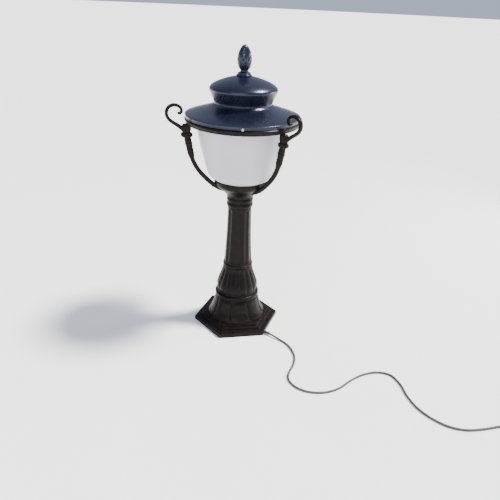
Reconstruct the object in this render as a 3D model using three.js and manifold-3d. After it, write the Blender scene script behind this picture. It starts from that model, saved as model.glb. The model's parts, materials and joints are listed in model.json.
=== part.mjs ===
// Bollard light: a cast post on a hexagonal base, an opal bowl between three scrolled arms,
// and a hinged domed canopy with a pine-cone finial.
// Millimetres, +Z up. The origin is the centre of the underside; the flat front of the base faces -Y.
import * as THREE from 'three';
import { mergeVertices } from 'three/addons/utils/BufferGeometryUtils.js';
import Module from 'manifold-3d';

const wasm = await Module();
wasm.setup();

// ---------------------------------------------------------------- driving dimensions
const GAP = 0.3;                     // clearance between pieces that touch
const SIDES = 24;                    // facets round a large turned piece
const SMALL_SIDES = 12;              // facets round a small turned piece

const BASE_APOTHEM = 139.6;          // centre to a flat of the hexagonal foot
const SLAB_TOP = 16;
const STEPS = [                      // the two hexagonal steps above the slab
  { apothem: 120, top: 24 },
  { apothem: 110, top: 31 },
];
const BASE_TOP = 129;                // top of the ring bead, where the vase stands
const ANCHOR_RADIUS = 129;           // bolt circle of the three anchor holes
const ANCHOR_HOLE = 5.5;             // hole radius, for M10 anchors
const ANCHOR_ANGLES = [-30, 90, 210];
const COVER_RADIUS = 104;
const COVER_THICK = 4;
const COVER_SCREW_RADIUS = 99.5;
const COVER_SCREW_ANGLES = [30, 150, 270];

const VASE_TOP = 237;
const COLLAR_TOP = 247.4;
const COLUMN_TOP = 466;
const COLUMN_FLUTES = 12;
const HEAD_TOP = 503;
const CUP_FLOOR = 536;
const CUP_LEDGE = 548;
const CUP_RIM = 568;

const TUBE_RADIUS = 6.5;             // hollow M13 tie tube
const TUBE_BORE = 4.8;
const TUBE_BOTTOM = 84;
const TUBE_TOP = 556;
const WEB_BOTTOM = 108;              // web inside the base that the tie tube pulls on

const RING_BOTTOM = 758;
const RING_TOP = 782;
const RIM_RADIUS = 188.5;            // edge of the canopy
const SKIRT_BOTTOM = 776.2;
const CROWN = 906;                   // top of the canopy, under the finial
const TIP = 1000;

const ARM_ANGLES = { right: -55.3, rear: 64.7, left: 184.7 };
const ARM_WIDTH = 11;
const ARM_SCREW_RADIUS = 180;
const ARM_BOLT_HEIGHT = 543;

const HINGE_ANGLE = 124.7;           // midway between the rear arm and the left arm
const HINGE_RADIUS = 198;
const HINGE_HEIGHT = 776;
const HINGE_PIN = 2;
const KNUCKLE = 4.6;
const LATCH_ANGLES = { front: -99, side: -11.6 };
const LATCH_HEIGHT = 779.6;

const CORD_RADIUS = 3.5;
const CORD_SIDES = 8;
const COIL_CENTRE = [816, -627];
const COIL_COLUMNS = 4;              // turns side by side, in two layers
const COIL_PITCH = 7.15;
const COIL_OUTER_TURN = 50.65;       // radius of the outermost turn
const COIL_BOTTOM = 1.4;             // the tie passes beneath
const ENTRY_FLAT = -30;              // flat of the base that the cable comes through
const ENTRY_ANGLE = -46;             // direction that it leaves in
const ENTRY_OFFSET = 65;             // from the middle of that flat towards the corner
const ENTRY_HEIGHT = 8.5;
const SLEEVE = 24;                   // length of the bend sleeve outside the base
const PLUG_ANGLE = 72;               // direction that the pins point in
const PLUG_AXIS_HEIGHT = 13.4;

// ---------------------------------------------------------------- colours and finishes
const finish = (color, metalness, roughness) =>
  new THREE.MeshStandardMaterial({ color, metalness, roughness });
const castBlack = finish(0x1b1714, 0.45, 0.42);
const canopyBlue = finish(0x232c44, 0.5, 0.38);
const opal = finish(0xc6c8cf, 0.0, 0.55);
const steel = finish(0xa9adb0, 0.95, 0.35);
const brass = finish(0xb79a55, 0.95, 0.3);
const ceramic = finish(0xe9e6de, 0.0, 0.35);
const rubber = finish(0x1a1b1c, 0.0, 0.8);
const cordGrey = finish(0x3d3d33, 0.0, 0.7);
const plastic = finish(0xd9d7cf, 0.0, 0.5);
const bulbGlass = finish(0xf3f1ea, 0.0, 0.25);

// ---------------------------------------------------------------- geometry helpers
const radians = THREE.MathUtils.degToRad;

// One closed body from any three.js geometry: welded, without slivers, faces pointing out.
function closed(geometry) {
  const bare = geometry.clone();
  bare.deleteAttribute('normal');
  bare.deleteAttribute('uv');
  const welded = mergeVertices(bare, 1e-3);
  const p = welded.getAttribute('position');
  const source = welded.getIndex().array;
  const kept = [];
  let volume = 0;
  const [a, b, c] = [new THREE.Vector3(), new THREE.Vector3(), new THREE.Vector3()];
  for (let i = 0; i < source.length; i += 3) {
    const [u, v, w] = [source[i], source[i + 1], source[i + 2]];
    if (u === v || v === w || w === u) continue;
    kept.push(u, v, w);
    a.fromBufferAttribute(p, u);
    b.fromBufferAttribute(p, v);
    c.fromBufferAttribute(p, w);
    volume += a.dot(b.cross(c));
  }
  if (volume < 0) {
    for (let i = 0; i < kept.length; i += 3) [kept[i], kept[i + 1]] = [kept[i + 1], kept[i]];
  }
  welded.setIndex(kept);
  return welded;
}

function toSolid(geometry) {
  const body = closed(geometry);
  const vertProperties = new Float32Array(body.getAttribute('position').array);
  const triVerts = new Uint32Array(body.getIndex().array);
  return new wasm.Manifold(new wasm.Mesh({ numProp: 3, vertProperties, triVerts }));
}

function toGeometry(solid) {
  const mesh = solid.getMesh();
  const geometry = new THREE.BufferGeometry();
  geometry.setAttribute('position', new THREE.BufferAttribute(new Float32Array(mesh.vertProperties), 3));
  geometry.setIndex(Array.from(mesh.triVerts));
  geometry.computeVertexNormals();
  return geometry;
}

function join(...geometries) {
  const [first, ...rest] = geometries.map(toSolid);
  return toGeometry(rest.reduce((sum, part) => sum.add(part), first));
}

function cut(geometry, ...tools) {
  return toGeometry(tools.map(toSolid).reduce((left, tool) => left.subtract(tool), toSolid(geometry)));
}

// Turned piece: [radius, height] points, closed on themselves or on the axis.
function turned(profile, sides = SIDES) {
  const points = profile.map(([r, z]) => new THREE.Vector2(r, z));
  if (profile[0][0] > 0) points.push(points[0].clone());
  return new THREE.LatheGeometry(points, sides).rotateX(Math.PI / 2);
}

// Ring of rectangular section.
function ring(inner, outer, bottom, top, sides = SIDES) {
  return turned([[inner, bottom], [outer, bottom], [outer, top], [inner, top]], sides);
}

function rod(radius, bottom, top, sides = SMALL_SIDES) {
  return new THREE.CylinderGeometry(radius, radius, top - bottom, sides)
    .rotateX(Math.PI / 2).translate(0, 0, (top + bottom) / 2);
}

function box(x0, x1, y0, y1, z0, z1) {
  return new THREE.BoxGeometry(x1 - x0, y1 - y0, z1 - z0)
    .translate((x0 + x1) / 2, (y0 + y1) / 2, (z0 + z1) / 2);
}

// Hexagonal prism with flats facing +-Y.
function hexagon(apothem, bottom, top) {
  const corner = apothem / Math.cos(Math.PI / 6);
  return new THREE.CylinderGeometry(corner, corner, top - bottom, 6, 1, false, Math.PI / 2)
    .rotateX(Math.PI / 2).translate(0, 0, (top + bottom) / 2);
}

// A piece drawn along +X at the axis, swung round to its angle.
const swing = (geometry, degrees) => geometry.rotateZ(radians(degrees));

// Straight rod along a radius of the lamp.
function radialRod(radius, from, to, height, sides = SMALL_SIDES) {
  return new THREE.CylinderGeometry(radius, radius, to - from, sides)
    .rotateZ(-Math.PI / 2).translate((from + to) / 2, 0, height);
}

// Plate cut from a flat outline in the radius-height plane, centred on that plane.
function plate(points, width) {
  const shape = new THREE.Shape(points.map(([x, y]) => new THREE.Vector2(x, y)));
  return new THREE.ExtrudeGeometry(shape, { depth: width, bevelEnabled: false })
    .translate(0, 0, -width / 2).rotateX(Math.PI / 2);
}

// Strap of changing thickness along a curve: each point is [radius, height, half thickness].
function strap(points, width, steps) {
  const line = new THREE.SplineCurve(points.map(([r, z]) => new THREE.Vector2(r, z)));
  const thick = new THREE.SplineCurve(points.map(([, , half], i) => new THREE.Vector2(i, half)));
  const outer = [];
  const inner = [];
  for (let i = 0; i <= steps; i += 1) {
    const t = i / steps;
    const at = line.getPoint(t);
    const along = line.getTangent(t);
    const half = thick.getPoint(t).y;
    outer.push([at.x + along.y * half, at.y - along.x * half]);
    inner.push([at.x - along.y * half, at.y + along.x * half]);
  }
  return plate([...outer, ...inner.reverse()], width);
}

// Solid round tube through points, for cords.
function tube(points, radius, steps, sides = CORD_SIDES) {
  const path = new THREE.CatmullRomCurve3(points.map((p) => new THREE.Vector3(...p)), false, 'centripetal');
  const section = new THREE.Shape();
  for (let i = 0; i < sides; i += 1) {
    const angle = (2 * Math.PI * (i + 0.5)) / sides;
    section[i ? 'lineTo' : 'moveTo'](radius * Math.cos(angle), radius * Math.sin(angle));
  }
  section.closePath();
  return new THREE.ExtrudeGeometry(section, { steps, extrudePath: path, bevelEnabled: false });
}

// Press shallow flutes into a turned piece.
function fluted(geometry, count, depth, from, to) {
  const p = geometry.getAttribute('position');
  for (let i = 0; i < p.count; i += 1) {
    const radius = Math.hypot(p.getX(i), p.getY(i));
    const inside = p.getZ(i) > from && p.getZ(i) < to;
    if (!inside || radius < 1) continue;
    const wave = 0.5 - 0.5 * Math.cos(count * Math.atan2(p.getY(i), p.getX(i)));
    const scale = 1 - (depth * wave) / radius;
    p.setXY(i, p.getX(i) * scale, p.getY(i) * scale);
  }
  return geometry;
}

const lamp = new THREE.Group();

function add(name, geometry, material) {
  const mesh = new THREE.Mesh(closed(geometry), material);
  mesh.name = name;
  lamp.add(mesh);
  return mesh;
}

// ---------------------------------------------------------------- cable entry
const heading = (degrees) => new THREE.Vector3(Math.cos(radians(degrees)), Math.sin(radians(degrees)), 0);
const entryOut = heading(ENTRY_ANGLE);
const entry = heading(ENTRY_FLAT).multiplyScalar(BASE_APOTHEM)
  .addScaledVector(heading(ENTRY_FLAT - 90), ENTRY_OFFSET).setZ(ENTRY_HEIGHT);

// Turned piece laid along the cable entry: heights become distance out from the base.
function alongEntry(geometry) {
  return geometry.rotateY(Math.PI / 2).rotateZ(radians(ENTRY_ANGLE)).translate(entry.x, entry.y, entry.z);
}

// ---------------------------------------------------------------- base
function makeBase() {
  const body = join(
    hexagon(BASE_APOTHEM, 0, SLAB_TOP),
    hexagon(STEPS[0].apothem, SLAB_TOP - 1, STEPS[0].top),
    hexagon(STEPS[1].apothem, STEPS[0].top - 1, STEPS[1].top),
    turned([
      [0, STEPS[1].top - 1], [108, STEPS[1].top - 1], [107.5, 35], [99, 46], [92.5, 60],
      [88, 74], [83.5, 90], [80, 104], [77, 112], [80.5, 115], [82, 121], [80.5, 127],
      [77, BASE_TOP], [0, BASE_TOP],
    ]),
  );
  const hollow = turned([
    [0, 20], [96, 20], [94, 32], [84, 48], [76, 70], [70, 94], [66, WEB_BOTTOM], [0, WEB_BOTTOM],
  ]);
  const upper = rod(60, WEB_BOTTOM + 8, BASE_TOP + 1, SIDES);
  const anchors = ANCHOR_ANGLES.map((angle) =>
    swing(rod(ANCHOR_HOLE, -1, SLAB_TOP + 1).translate(ANCHOR_RADIUS, 0, 0), angle));
  const screws = COVER_SCREW_ANGLES.map((angle) =>
    swing(rod(2.4, COVER_THICK - 1, 16).translate(COVER_SCREW_RADIUS, 0, 0), angle));
  return cut(
    body,
    rod(COVER_RADIUS + GAP, -1, COVER_THICK + GAP, SIDES),
    rod(95, COVER_THICK, 21, SIDES),
    hollow,
    upper,
    rod(TUBE_RADIUS + GAP, WEB_BOTTOM - 1, WEB_BOTTOM + 9),
    alongEntry(rod(6.5, -12.4, 8)),
    alongEntry(rod(4, -70, 1)),
    ...anchors,
    ...screws,
  );
}

function makeCover() {
  const holes = COVER_SCREW_ANGLES.flatMap((angle) => [
    swing(rod(2.4, -1, COVER_THICK + 1).translate(COVER_SCREW_RADIUS, 0, 0), angle),
    swing(rod(4.1, -1, 2.8).translate(COVER_SCREW_RADIUS, 0, 0), angle),
  ]);
  return cut(rod(COVER_RADIUS, 0, COVER_THICK, SIDES), ...holes);
}

add('base_casting', makeBase(), castBlack);
add('base_cover_plate', makeCover(), castBlack);
COVER_SCREW_ANGLES.forEach((angle, i) => {
  const screw = join(rod(3.8, 0.4, 2.5), rod(2.1, 2.4, 13)).translate(COVER_SCREW_RADIUS, 0, 0);
  add(`cover_screw_${i + 1}`, swing(screw, angle), steel);
});

// ---------------------------------------------------------------- post
add('vase_casting', turned([
  [67, BASE_TOP + GAP], [74, BASE_TOP + GAP], [73.5, 139], [75.8, 150], [76, 158], [73.2, 170],
  [69, 183], [64.2, 196], [59.6, 209], [56, 222], [53.4, VASE_TOP],
  [45, VASE_TOP], [50, 215], [58, 192], [67, 165], [67, 140],
]), castBlack);

add('lower_collar', turned([
  [44, VASE_TOP + GAP], [52, VASE_TOP + GAP], [54.2, 240], [54.2, 244.6], [52, COLLAR_TOP],
  [44, COLLAR_TOP],
]), castBlack);

add('column_shaft', fluted(turned([
  [42, COLLAR_TOP + GAP], [51.2, COLLAR_TOP + GAP], [51, 250], [49.4, 270], [47.6, 300], [44, 370],
  [43, 405], [41.8, 440], [41.8, 463], [42.4, COLUMN_TOP],
  [34, COLUMN_TOP], [35, 400],
], 4 * COLUMN_FLUTES), COLUMN_FLUTES, 2, 249, 464), castBlack);

add('column_head', turned([
  [34, COLUMN_TOP + GAP], [43.5, COLUMN_TOP + GAP], [43.5, 471], [46.2, 476], [46, 481], [43.2, 487],
  [46.4, 494], [46.2, 500], [44.8, HEAD_TOP], [34, HEAD_TOP],
]), castBlack);

// ---------------------------------------------------------------- cup
const CUP_OUTLINE = [
  [45.8, HEAD_TOP + GAP], [48, 510], [51, 516.5], [57, 523], [64.5, 529.5], [76, 538], [86, 547],
  [91, 556], [92, 563], [92, CUP_RIM],
];

function makeCup() {
  const body = turned([
    [TUBE_RADIUS + GAP, CUP_FLOOR - 8], [30, CUP_FLOOR - 8], [38, 518], [38, HEAD_TOP + GAP],
    ...CUP_OUTLINE,
    [88, CUP_RIM], [87, 558], [83, 550.5], [80, CUP_LEDGE], [52, CUP_LEDGE], [52, CUP_FLOOR],
    [TUBE_RADIUS + GAP, CUP_FLOOR],
  ]);
  const holes = Object.values(ARM_ANGLES).map((angle) =>
    swing(radialRod(2.8, 48, 100, ARM_BOLT_HEIGHT, 12), angle));
  return cut(body, ...holes);
}

add('cup', makeCup(), castBlack);

// ---------------------------------------------------------------- arms
const ARM_LINE = [            // radius, height, half thickness from the cup to the head
  [72, 534, 7], [88, 544, 8], [104, 557, 8], [125, 578, 8.2], [144, 600, 8], [158, 622, 8],
  [167, 643, 8.4], [173.5, 668, 10], [178, 693, 11.2], [182, 716, 11], [184, 727, 11],
];
const SCROLL_LINE = [         // radius, height, half thickness from the head to the curled tip
  [187, 728, 7], [195, 739.5, 7], [206, 748.5, 6.4], [218, 757, 5.8], [230.5, 765, 5.5], [241.5, 774.5, 5.3],
  [247.6, 787.5, 5.3], [246.6, 802, 5.2], [238.2, 813, 5.1], [225, 817.8, 5.1], [211.4, 815.2, 4.9],
  [202.2, 807.3, 4.7], [200.6, 797.6, 4.3], [205.6, 791.6, 4], [213.5, 794, 4.4],
];
const HEAD_OUTLINE = [
  [172, 731], [172, RING_BOTTOM - GAP], [196, RING_BOTTOM - GAP], [207, 751], [207, 731],
  [203, 727], [203, 721], [166.5, 721], [166.5, 727],
];

function makeArm(angle) {
  const whole = join(
    strap(ARM_LINE, ARM_WIDTH, 22),
    plate(HEAD_OUTLINE, ARM_WIDTH + 5),
    strap(SCROLL_LINE, ARM_WIDTH, 30),
  );
  const cupSpace = turned([
    [0, HEAD_TOP], ...CUP_OUTLINE.map(([r, z]) => [r + 0.8, z - 0.4]), [92.8, CUP_RIM + 5], [0, CUP_RIM + 5],
  ], 4 * SIDES);
  const screwHole = rod(2.8, 738, RING_BOTTOM + 1, 12).translate(ARM_SCREW_RADIUS, 0, 0);
  return swing(cut(whole, cupSpace, screwHole, radialRod(2.8, 70, 103, ARM_BOLT_HEIGHT, 12)), angle);
}

for (const [side, angle] of Object.entries(ARM_ANGLES)) {
  add(`arm_${side}`, makeArm(angle), castBlack);
  const bolt = join(radialRod(4.6, 45.5, 50, ARM_BOLT_HEIGHT, 12), radialRod(2.4, 49.5, 101, ARM_BOLT_HEIGHT, 12));
  add(`arm_bolt_${side}`, swing(bolt, angle), steel);
  const screw = rod(2.4, 740, RING_BOTTOM + 5, 12).translate(ARM_SCREW_RADIUS, 0, 0);
  add(`arm_screw_${side}`, swing(screw, angle), steel);
}

// ---------------------------------------------------------------- frame ring and bowl
function makeRing() {
  const body = turned([
    [156.5, RING_BOTTOM], [184, RING_BOTTOM], [187, 761], [187, 765], [190.3, 767.6], [190.3, 772.4],
    [187.6, 775], [184.4, 775.2], [184.4, RING_TOP], [176, RING_TOP], [176, 764], [156.5, 764],
  ]);
  const notches = Object.values(LATCH_ANGLES).map((angle) =>
    swing(box(170, 187, -3, 3, 776.6, RING_TOP + 1), angle));
  const screwHoles = Object.values(ARM_ANGLES).map((angle) =>
    swing(rod(2.8, RING_BOTTOM - 1, RING_BOTTOM + 5.6, 12).translate(ARM_SCREW_RADIUS, 0, 0), angle));
  const hingeHoles = [-14, 14].map((offset) =>
    swing(radialRod(1.8, 180, 192, 768, 8).translate(0, offset, 0), HINGE_ANGLE));
  return cut(body, ...notches, ...screwHoles, ...hingeHoles);
}

add('frame_ring', makeRing(), castBlack);
add('upper_gasket', ring(158, 172, 764.3, 766.9), rubber);
add('lower_gasket', ring(58, 79, CUP_LEDGE + GAP, CUP_LEDGE + 3.7), rubber);

add('diffuser', turned([
  [43, 552.2], [77, 552.2], [81, 556.5], [86.5, 567.5], [90, 570.2], [106, 581], [113, 591],
  [118.5, 605], [130, 648], [141.5, 697], [150.5, 745], [153, 762], [154.5, 767.2], [171, 767.2],
  [171, 770.8], [151.5, 770.8], [149.5, 762], [138, 697], [126.5, 648], [115, 605.5], [110, 592.5],
  [103.5, 583.6], [83, 571], [75.5, 555.8], [43, 555.8],
]), opal);

// ---------------------------------------------------------------- canopy
function makeCanopy() {
  const body = turned([
    [4.6, 902.6], [24, 902.4], [60, 893.6], [89.5, 881.5], [104, 871.6], [107.6, 866.6], [98, 842],
    [92.4, 822], [107, 810.2], [154, 795.2], [185.3, 784.6], [185.3, SKIRT_BOTTOM],
    [RIM_RADIUS, SKIRT_BOTTOM], [RIM_RADIUS, 785.4], [186.4, 788], [155, 798.4], [108, 813.4],
    [98.2, 818.6], [95.4, 822.4], [101, 841.4], [109.8, 861], [110.8, 867], [107, 874], [91, 885.2],
    [61, 897], [40, 903.4], [24, CROWN], [4.6, CROWN],
  ]);
  const latchHoles = Object.values(LATCH_ANGLES).map((angle) =>
    swing(radialRod(2.5, 182, 192, LATCH_HEIGHT, 12), angle));
  const leafHole = swing(radialRod(1.8, 183, 192, 781, 8), HINGE_ANGLE);
  return cut(body, ...latchHoles, leafHole);
}

add('canopy', makeCanopy(), canopyBlue);
add('finial', turned([
  [0, 886], [4.1, 886], [4.1, CROWN + GAP], [24, CROWN + GAP], [25, 908.5], [20.5, 913], [19.5, 916.5],
  [14.5, 918.6], [12.6, 921.5], [15.6, 926], [19.4, 932.5], [22.2, 943], [23.2, 953], [22.6, 963],
  [20.4, 973.5], [17, 982.5], [12.4, 990.5], [6.6, 997], [0, TIP],
], SMALL_SIDES), canopyBlue);
add('finial_washer', ring(4.5, 10, 900.4, 902, SMALL_SIDES), steel);
add('finial_nut', cut(hexagon(6.5, 893.6, 900), rod(4.5, 890, 903)), steel);
add('canopy_seal', ring(177, 183, RING_TOP + GAP, RING_TOP + 2.2), rubber);

// Captive thumb screws: knurled head outside the skirt, shank in a notch of the ring.
for (const [place, angle] of Object.entries(LATCH_ANGLES)) {
  const screw = join(radialRod(4.4, 189.2, 193.4, LATCH_HEIGHT, 12), radialRod(2, 178, 189.6, LATCH_HEIGHT, 12));
  add(`latch_screw_${place}`, swing(screw, angle), steel);
}

// ---------------------------------------------------------------- hinge
// Drawn with the pin along Y at HINGE_RADIUS, then swung round to its place.
const pinWise = (radius, from, to, sides = SMALL_SIDES) =>
  new THREE.CylinderGeometry(radius, radius, to - from, sides)
    .translate(0, (from + to) / 2, 0).translate(HINGE_RADIUS, 0, HINGE_HEIGHT);

function makeHingeBracket() {
  const body = join(
    box(190.8, 193.2, -20, 20, 760, 771.2),
    ...[-14, 14].flatMap((y) => [
      box(190.8, 196, y - 6, y + 6, 766, 777.5),
      pinWise(KNUCKLE, y - 6, y + 6),
    ]),
  );
  const screwHoles = [-14, 14].map((y) => radialRod(1.8, 185, 200, 768, 8).translate(0, y, 0));
  return swing(cut(body, pinWise(HINGE_PIN + GAP, -25, 25), ...screwHoles), HINGE_ANGLE);
}

function makeHingeLeaf() {
  const body = join(
    box(189, 191, -7.6, 7.6, 776.8, 785.6),
    box(190, 198, -7.6, 7.6, 776.8, 779.8),
    pinWise(KNUCKLE, -7.6, 7.6),
  );
  const leafHole = radialRod(1.8, 185, 194, 782.6, 8);
  return swing(cut(body, pinWise(HINGE_PIN + GAP, -25, 25), leafHole), HINGE_ANGLE);
}

add('hinge_bracket', makeHingeBracket(), castBlack);
add('hinge_leaf', makeHingeLeaf(), castBlack);
add('hinge_pin', swing(pinWise(HINGE_PIN, -21, 21), HINGE_ANGLE), steel);

// ---------------------------------------------------------------- tie tube and its nuts
add('tie_tube', ring(TUBE_BORE, TUBE_RADIUS, TUBE_BOTTOM, TUBE_TOP, SMALL_SIDES), steel);
add('tie_washer_lower', ring(TUBE_RADIUS + GAP, 16, WEB_BOTTOM - 2.8, WEB_BOTTOM - GAP, SMALL_SIDES), steel);
add('tie_nut_lower', cut(hexagon(10, 96.6, 104.9), rod(TUBE_RADIUS + GAP, 90, 110)), steel);
add('tie_washer_upper', ring(TUBE_RADIUS + GAP, 16, CUP_FLOOR + GAP, CUP_FLOOR + 2.2, SMALL_SIDES), steel);
add('tie_nut_upper', cut(hexagon(10, CUP_FLOOR + 2.5, CUP_FLOOR + 9), rod(TUBE_RADIUS + GAP, 530, 560)), steel);

// ---------------------------------------------------------------- lampholder and bulb
add('lampholder_cap', turned([
  [TUBE_RADIUS + GAP, 546], [18, 546], [22, 552], [22, 561], [TUBE_RADIUS + GAP, 561],
], SMALL_SIDES), ceramic);
add('lampholder_body', turned([
  [0, 561.3], [21, 561.3], [21, 590], [14.4, 590], [14.4, 568], [0, 568],
], SMALL_SIDES), ceramic);
add('bulb_cap', turned([
  [0, 568.4], [4.5, 568.4], [9, 573], [13.6, 575], [13.6, 594], [0, 594],
], SMALL_SIDES), brass);
add('bulb_globe', turned([
  [0, 594.3], [14, 594.3], [17, 606], [24, 624], [29, 638], [30, 652], [27, 667], [18, 678], [8, 682.6],
  [0, 683.6],
], SMALL_SIDES), bulbGlass);

// ---------------------------------------------------------------- wiring inside
const entryPoint = (out) => [entry.x + entryOut.x * out, entry.y + entryOut.y * out, entry.z];

add('terminal_block', box(-4, 24, -38, -20, COVER_THICK + 0.6, 24), plastic);
add('cord_tail', tube([
  ...[SLEEVE - 1, -20, -44, -58, -72].map(entryPoint),
  [30, -65, 9], [20, -54, 11], [14, -42, 13],
], CORD_RADIUS, 18), rubber);
add('lamp_lead', tube([
  [10, -29, 24.6], [10, -28, 40], [4, -12, 62], [0, 0, 84], [0, 0, 110], [0, 0, 330], [0, 0, 558],
], 2.8, 16), rubber);

// ---------------------------------------------------------------- cable entry and free cord
add('entry_sleeve', alongEntry(turned([
  [3.8, -12], [6, -12], [6, 5], [4.7, SLEEVE], [3.8, SLEEVE],
], SMALL_SIDES)), rubber);

// Route of the free cord over the ground, from the sleeve to the coil.
const cordStart = entryPoint(SLEEVE + GAP);
const coilEntry = [COIL_CENTRE[0] - 31, COIL_CENTRE[1] - COIL_OUTER_TURN, COIL_BOTTOM + CORD_RADIUS];
const CORD_ROUTE = [
  cordStart,
  [121, -161, 7.2], [137, -179, 5.2], [150, -196, 4], [160, -216, 3.7], [167, -245, 3.7], [168, -276, 3.7],
  [160, -307, 3.7], [145, -336, 3.7], [127, -364, 3.7], [119, -388, 3.7], [122, -412, 3.7],
  [137, -438, 3.7], [168, -460, 3.7], [206, -469, 3.7], [241, -467, 3.7], [276, -455, 3.7],
  [328, -423, 3.7], [380, -401, 3.7], [432, -397, 3.7], [468, -415, 3.7], [482, -462, 3.7],
  [481, -520, 3.7], [491, -578, 3.7], [518, -627, 3.7], [553, -661, 3.7], [594, -678, 3.7],
  [642, -682, 3.8], [700, -679, 4.2], [750, -677.7, 4.8],
  coilEntry,
];
add('cord_run', tube(CORD_ROUTE, CORD_RADIUS, 74), cordGrey);

const coilInner = COIL_OUTER_TURN - (COIL_COLUMNS - 1) * COIL_PITCH - CORD_RADIUS;
const coilOuter = COIL_OUTER_TURN + CORD_RADIUS;
const coilTop = COIL_BOTTOM + 4 * CORD_RADIUS + 0.2;
const atCoil = (geometry) => geometry.translate(COIL_CENTRE[0], COIL_CENTRE[1], 0);
add('cord_coil', atCoil(ring(coilInner, coilOuter, COIL_BOTTOM, coilTop, SIDES)), cordGrey);

function makeTie() {
  const wall = 0.9;
  const [near, far] = [coilInner - 2, coilOuter + 0.5];
  const outside = box(near - wall, far + wall, -7, 7, 0.1, coilTop + GAP + wall);
  return swing(cut(outside, box(near, far, -8, 8, 0.1 + wall, coilTop + GAP)), 130);
}

add('coil_tie', atCoil(makeTie()), rubber);

// The plug lies on its flat side beyond the coil, with the cord's last stretch leading into it.
const plugOut = heading(PLUG_ANGLE);
const plugRear = new THREE.Vector3(COIL_CENTRE[0] + 62, COIL_CENTRE[1] + 46, PLUG_AXIS_HEIGHT);
const plugPoint = (out) => [plugRear.x + plugOut.x * out, plugRear.y + plugOut.y * out, plugRear.z];
const alongPlug = (geometry) => geometry
  .rotateZ(radians(PLUG_ANGLE)).translate(plugRear.x, plugRear.y, plugRear.z);

const coilExit = [COIL_CENTRE[0] + coilOuter + 4.2, COIL_CENTRE[1] + 6, coilTop - CORD_RADIUS];
add('cord_end', tube([
  coilExit, [COIL_CENTRE[0] + 59, COIL_CENTRE[1] + 24, coilTop - CORD_RADIUS + 0.6],
  plugPoint(-8), plugPoint(-GAP),
], CORD_RADIUS, 4), cordGrey);

const alongX = (geometry) => geometry.rotateY(Math.PI / 2);

// Turned outline flattened into an oval, from the cord end to the pin face.
function makePlug() {
  const body = alongX(turned([
    [0, 24.3], [8.5, 24.3], [13, 31], [16.5, 40], [18, 50], [18, 62], [0, 62],
  ], SMALL_SIDES)).scale(1, 1, 13 / 18);
  const holes = [-9.5, 9.5].map((y) => alongX(rod(2.6, 54, 63, 12)).translate(0, y, 0));
  return alongPlug(cut(body, ...holes));
}

add('plug_relief', alongPlug(alongX(turned([
  [0, 0], [4.4, 0], [6.4, 24], [0, 24],
], SMALL_SIDES))), rubber);
add('plug_body', makePlug(), rubber);
[-9.5, 9.5].forEach((y, i) => {
  add(`plug_pin_${i + 1}`, alongPlug(alongX(rod(2.3, 54.4, 81, 12)).translate(0, y, 0)), steel);
});

export default lamp;
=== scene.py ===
"""Bollard light: the looks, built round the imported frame. Metres, +Z up, in the frame's own axes."""
import itertools
import json
import math

import bmesh
import bpy
from mathutils import Matrix, Vector

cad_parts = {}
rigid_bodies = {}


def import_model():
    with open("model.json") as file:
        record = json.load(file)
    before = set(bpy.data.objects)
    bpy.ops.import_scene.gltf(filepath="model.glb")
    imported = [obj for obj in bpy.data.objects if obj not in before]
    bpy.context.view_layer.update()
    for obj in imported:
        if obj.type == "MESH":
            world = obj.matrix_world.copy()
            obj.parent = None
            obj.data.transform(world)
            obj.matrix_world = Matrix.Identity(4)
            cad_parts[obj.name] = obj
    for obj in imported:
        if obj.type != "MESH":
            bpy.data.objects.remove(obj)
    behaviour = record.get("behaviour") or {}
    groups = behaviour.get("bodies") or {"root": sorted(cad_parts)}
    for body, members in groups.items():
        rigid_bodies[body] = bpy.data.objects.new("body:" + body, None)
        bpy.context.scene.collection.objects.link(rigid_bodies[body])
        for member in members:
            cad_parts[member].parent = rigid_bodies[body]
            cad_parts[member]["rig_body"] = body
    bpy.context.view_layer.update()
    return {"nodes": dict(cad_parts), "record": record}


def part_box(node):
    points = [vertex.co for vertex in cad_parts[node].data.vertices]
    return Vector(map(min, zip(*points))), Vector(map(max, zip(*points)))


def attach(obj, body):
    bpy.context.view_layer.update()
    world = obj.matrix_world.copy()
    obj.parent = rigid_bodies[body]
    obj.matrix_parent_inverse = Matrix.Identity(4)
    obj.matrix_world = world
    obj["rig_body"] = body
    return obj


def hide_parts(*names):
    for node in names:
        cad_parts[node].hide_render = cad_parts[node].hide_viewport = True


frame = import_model()

MM = 0.001
SEGMENTS = 168            # facets round a large turned piece
SMALL_SEGMENTS = 64
CURVE_STEP = 1.6          # mm between points of a curved outline
CREASE = 38               # degrees at which an edge stays sharp

slot_of = {part["node"]: part["material_slot"] for part in frame["record"]["subparts"]}
body_of = {name: node["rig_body"] for name, node in frame["nodes"].items()}


def heading(degrees):
    """Level unit vector at an angle from +X."""
    return Vector((math.cos(math.radians(degrees)), math.sin(math.radians(degrees)), 0))


def link(name, data):
    thing = bpy.data.objects.new(name, data)
    bpy.context.scene.collection.objects.link(thing)
    return thing


# ---------------------------------------------------------------- camera
LENS = 36.84
SENSOR = 36
CAMERA_PLACE = Vector((-0.2744, -1.6716, 1.1334))
CAMERA_BEARING = 10.8     # degrees from +Y towards +X
CAMERA_PITCH = 26.4       # downwards
CAMERA_ROLL = 2.63


def make_camera():
    data = bpy.data.cameras.new("camera")
    data.sensor_width = SENSOR
    data.lens = LENS
    camera = link("camera", data)
    pitch, roll = math.radians(CAMERA_PITCH), math.radians(CAMERA_ROLL)
    ahead = heading(90 - CAMERA_BEARING) * math.cos(pitch) - Vector((0, 0, math.sin(pitch)))
    right = heading(-CAMERA_BEARING)
    up = right.cross(ahead)
    tilted_right = right * math.cos(roll) + up * math.sin(roll)
    tilted_up = up * math.cos(roll) - right * math.sin(roll)
    turn = Matrix((tilted_right, tilted_up, -ahead)).transposed().to_4x4()
    camera.matrix_world = Matrix.Translation(CAMERA_PLACE) @ turn
    bpy.context.scene.camera = camera


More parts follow.
